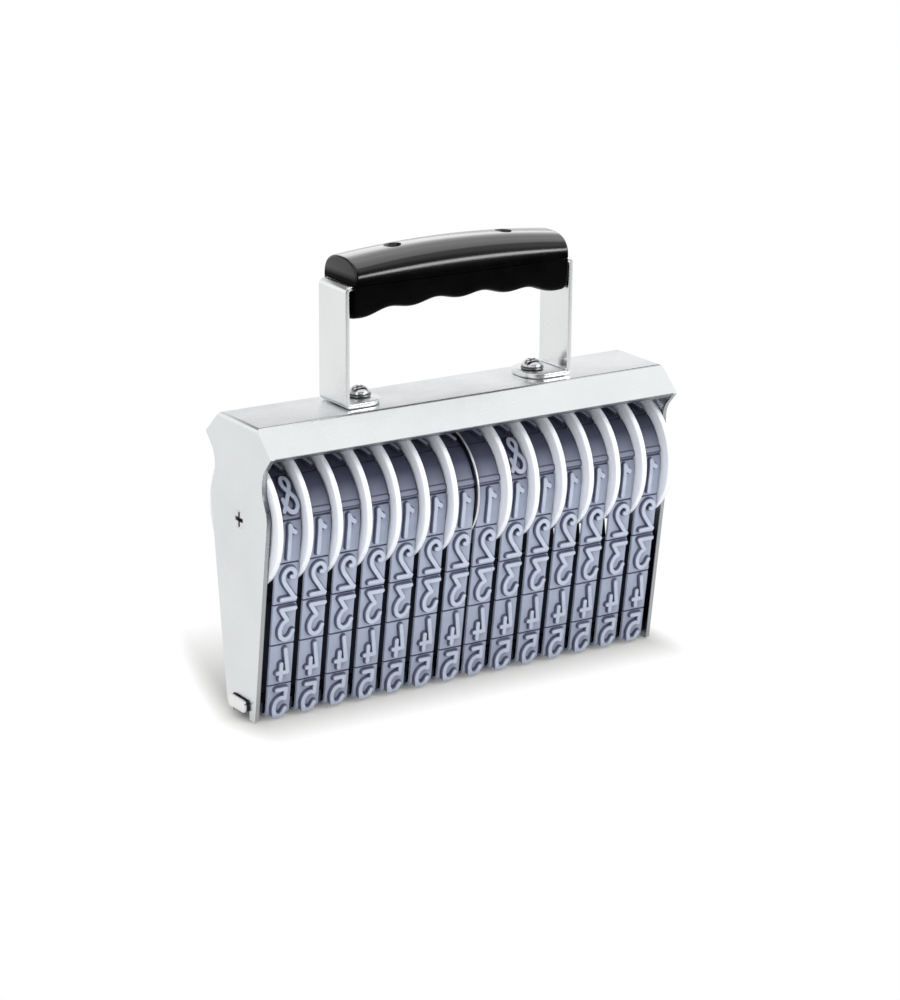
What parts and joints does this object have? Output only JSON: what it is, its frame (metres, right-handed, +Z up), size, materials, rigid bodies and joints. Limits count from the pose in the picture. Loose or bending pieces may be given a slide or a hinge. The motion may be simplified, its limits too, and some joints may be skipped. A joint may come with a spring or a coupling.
{
  "type": "numbering machine",
  "caption": "Hand numbering machine with a row of rubber number bands, thumb wheels on a shaft, a folded steel housing and a grip handle.",
  "frame": {"origin": "on the surface that the type stands on, under the middle of the machine", "axes": "+X along the row of bands to the right as seen from the front, +Y towards the back, +Z up to the handle"},
  "size_m": [0.1924, 0.054, 0.1799],
  "materials": {
    "housing_steel": "satin, plated folded sheet",
    "strap_steel": "satin drawn flat bar",
    "bright_steel": "bright",
    "fastener_steel": "bright plated",
    "dark_steel": "blackened",
    "wheel_plastic": "moulded, knurled rim",
    "band_rubber": "matt moulded rubber",
    "grip_plastic": "glossy moulded"
  },
  "bodies": {
    "root": {"housing": "housing_steel", "handle_strap": "strap_steel", "platen_bar": "bright_steel", "platen_rib": "dark_steel", "wheel_shaft": "bright_steel", "centre_divider": "bright_steel", "grip_upper": "grip_plastic", "grip_lower": "grip_plastic", "handle_screw_left": "fastener_steel", "handle_washer_left": "fastener_steel", "handle_nut_left": "fastener_steel", "grip_screw_left": "dark_steel", "shaft_screw_left": "fastener_steel", "handle_screw_right": "fastener_steel", "handle_washer_right": "fastener_steel", "handle_nut_right": "fastener_steel", "grip_screw_right": "dark_steel", "shaft_screw_right": "fastener_steel", "number_band_01": "band_rubber", "number_band_02": "band_rubber", "number_band_03": "band_rubber", "number_band_04": "band_rubber", "number_band_05": "band_rubber", "number_band_06": "band_rubber", "number_band_07": "band_rubber", "number_band_08": "band_rubber", "number_band_09": "band_rubber", "number_band_10": "band_rubber", "number_band_11": "band_rubber", "number_band_12": "band_rubber", "number_band_13": "band_rubber", "number_band_14": "band_rubber"},
    "wheel_01": {"thumb_wheel_01": "wheel_plastic"},
    "wheel_02": {"thumb_wheel_02": "wheel_plastic"},
    "wheel_03": {"thumb_wheel_03": "wheel_plastic"},
    "wheel_04": {"thumb_wheel_04": "wheel_plastic"},
    "wheel_05": {"thumb_wheel_05": "wheel_plastic"},
    "wheel_06": {"thumb_wheel_06": "wheel_plastic"},
    "wheel_07": {"thumb_wheel_07": "wheel_plastic"},
    "wheel_08": {"thumb_wheel_08": "wheel_plastic"},
    "wheel_09": {"thumb_wheel_09": "wheel_plastic"},
    "wheel_10": {"thumb_wheel_10": "wheel_plastic"},
    "wheel_11": {"thumb_wheel_11": "wheel_plastic"},
    "wheel_12": {"thumb_wheel_12": "wheel_plastic"},
    "wheel_13": {"thumb_wheel_13": "wheel_plastic"},
    "wheel_14": {"thumb_wheel_14": "wheel_plastic"}
  },
  "joints": [
    {"name": "wheel_01_spin", "type": "hinge", "parent": "root", "child": "wheel_01", "pos_m": [-0.09087, 0, 0.08], "axis": [1, 0, 0], "continuous": true},
    {"name": "wheel_02_spin", "type": "hinge", "parent": "root", "child": "wheel_02", "pos_m": [-0.07783, 0, 0.08], "axis": [1, 0, 0], "continuous": true},
    {"name": "wheel_03_spin", "type": "hinge", "parent": "root", "child": "wheel_03", "pos_m": [-0.06477, 0, 0.08], "axis": [1, 0, 0], "continuous": true},
    {"name": "wheel_04_spin", "type": "hinge", "parent": "root", "child": "wheel_04", "pos_m": [-0.05173, 0, 0.08], "axis": [1, 0, 0], "continuous": true},
    {"name": "wheel_05_spin", "type": "hinge", "parent": "root", "child": "wheel_05", "pos_m": [-0.03868, 0, 0.08], "axis": [1, 0, 0], "continuous": true},
    {"name": "wheel_06_spin", "type": "hinge", "parent": "root", "child": "wheel_06", "pos_m": [-0.02562, 0, 0.08], "axis": [1, 0, 0], "continuous": true},
    {"name": "wheel_07_spin", "type": "hinge", "parent": "root", "child": "wheel_07", "pos_m": [-0.01257, 0, 0.08], "axis": [1, 0, 0], "continuous": true},
    {"name": "wheel_08_spin", "type": "hinge", "parent": "root", "child": "wheel_08", "pos_m": [0.01257, 0, 0.08], "axis": [1, 0, 0], "continuous": true},
    {"name": "wheel_09_spin", "type": "hinge", "parent": "root", "child": "wheel_09", "pos_m": [0.02562, 0, 0.08], "axis": [1, 0, 0], "continuous": true},
    {"name": "wheel_10_spin", "type": "hinge", "parent": "root", "child": "wheel_10", "pos_m": [0.03868, 0, 0.08], "axis": [1, 0, 0], "continuous": true},
    {"name": "wheel_11_spin", "type": "hinge", "parent": "root", "child": "wheel_11", "pos_m": [0.05173, 0, 0.08], "axis": [1, 0, 0], "continuous": true},
    {"name": "wheel_12_spin", "type": "hinge", "parent": "root", "child": "wheel_12", "pos_m": [0.06477, 0, 0.08], "axis": [1, 0, 0], "continuous": true},
    {"name": "wheel_13_spin", "type": "hinge", "parent": "root", "child": "wheel_13", "pos_m": [0.07783, 0, 0.08], "axis": [1, 0, 0], "continuous": true},
    {"name": "wheel_14_spin", "type": "hinge", "parent": "root", "child": "wheel_14", "pos_m": [0.09087, 0, 0.08], "axis": [1, 0, 0], "continuous": true}
  ]
}
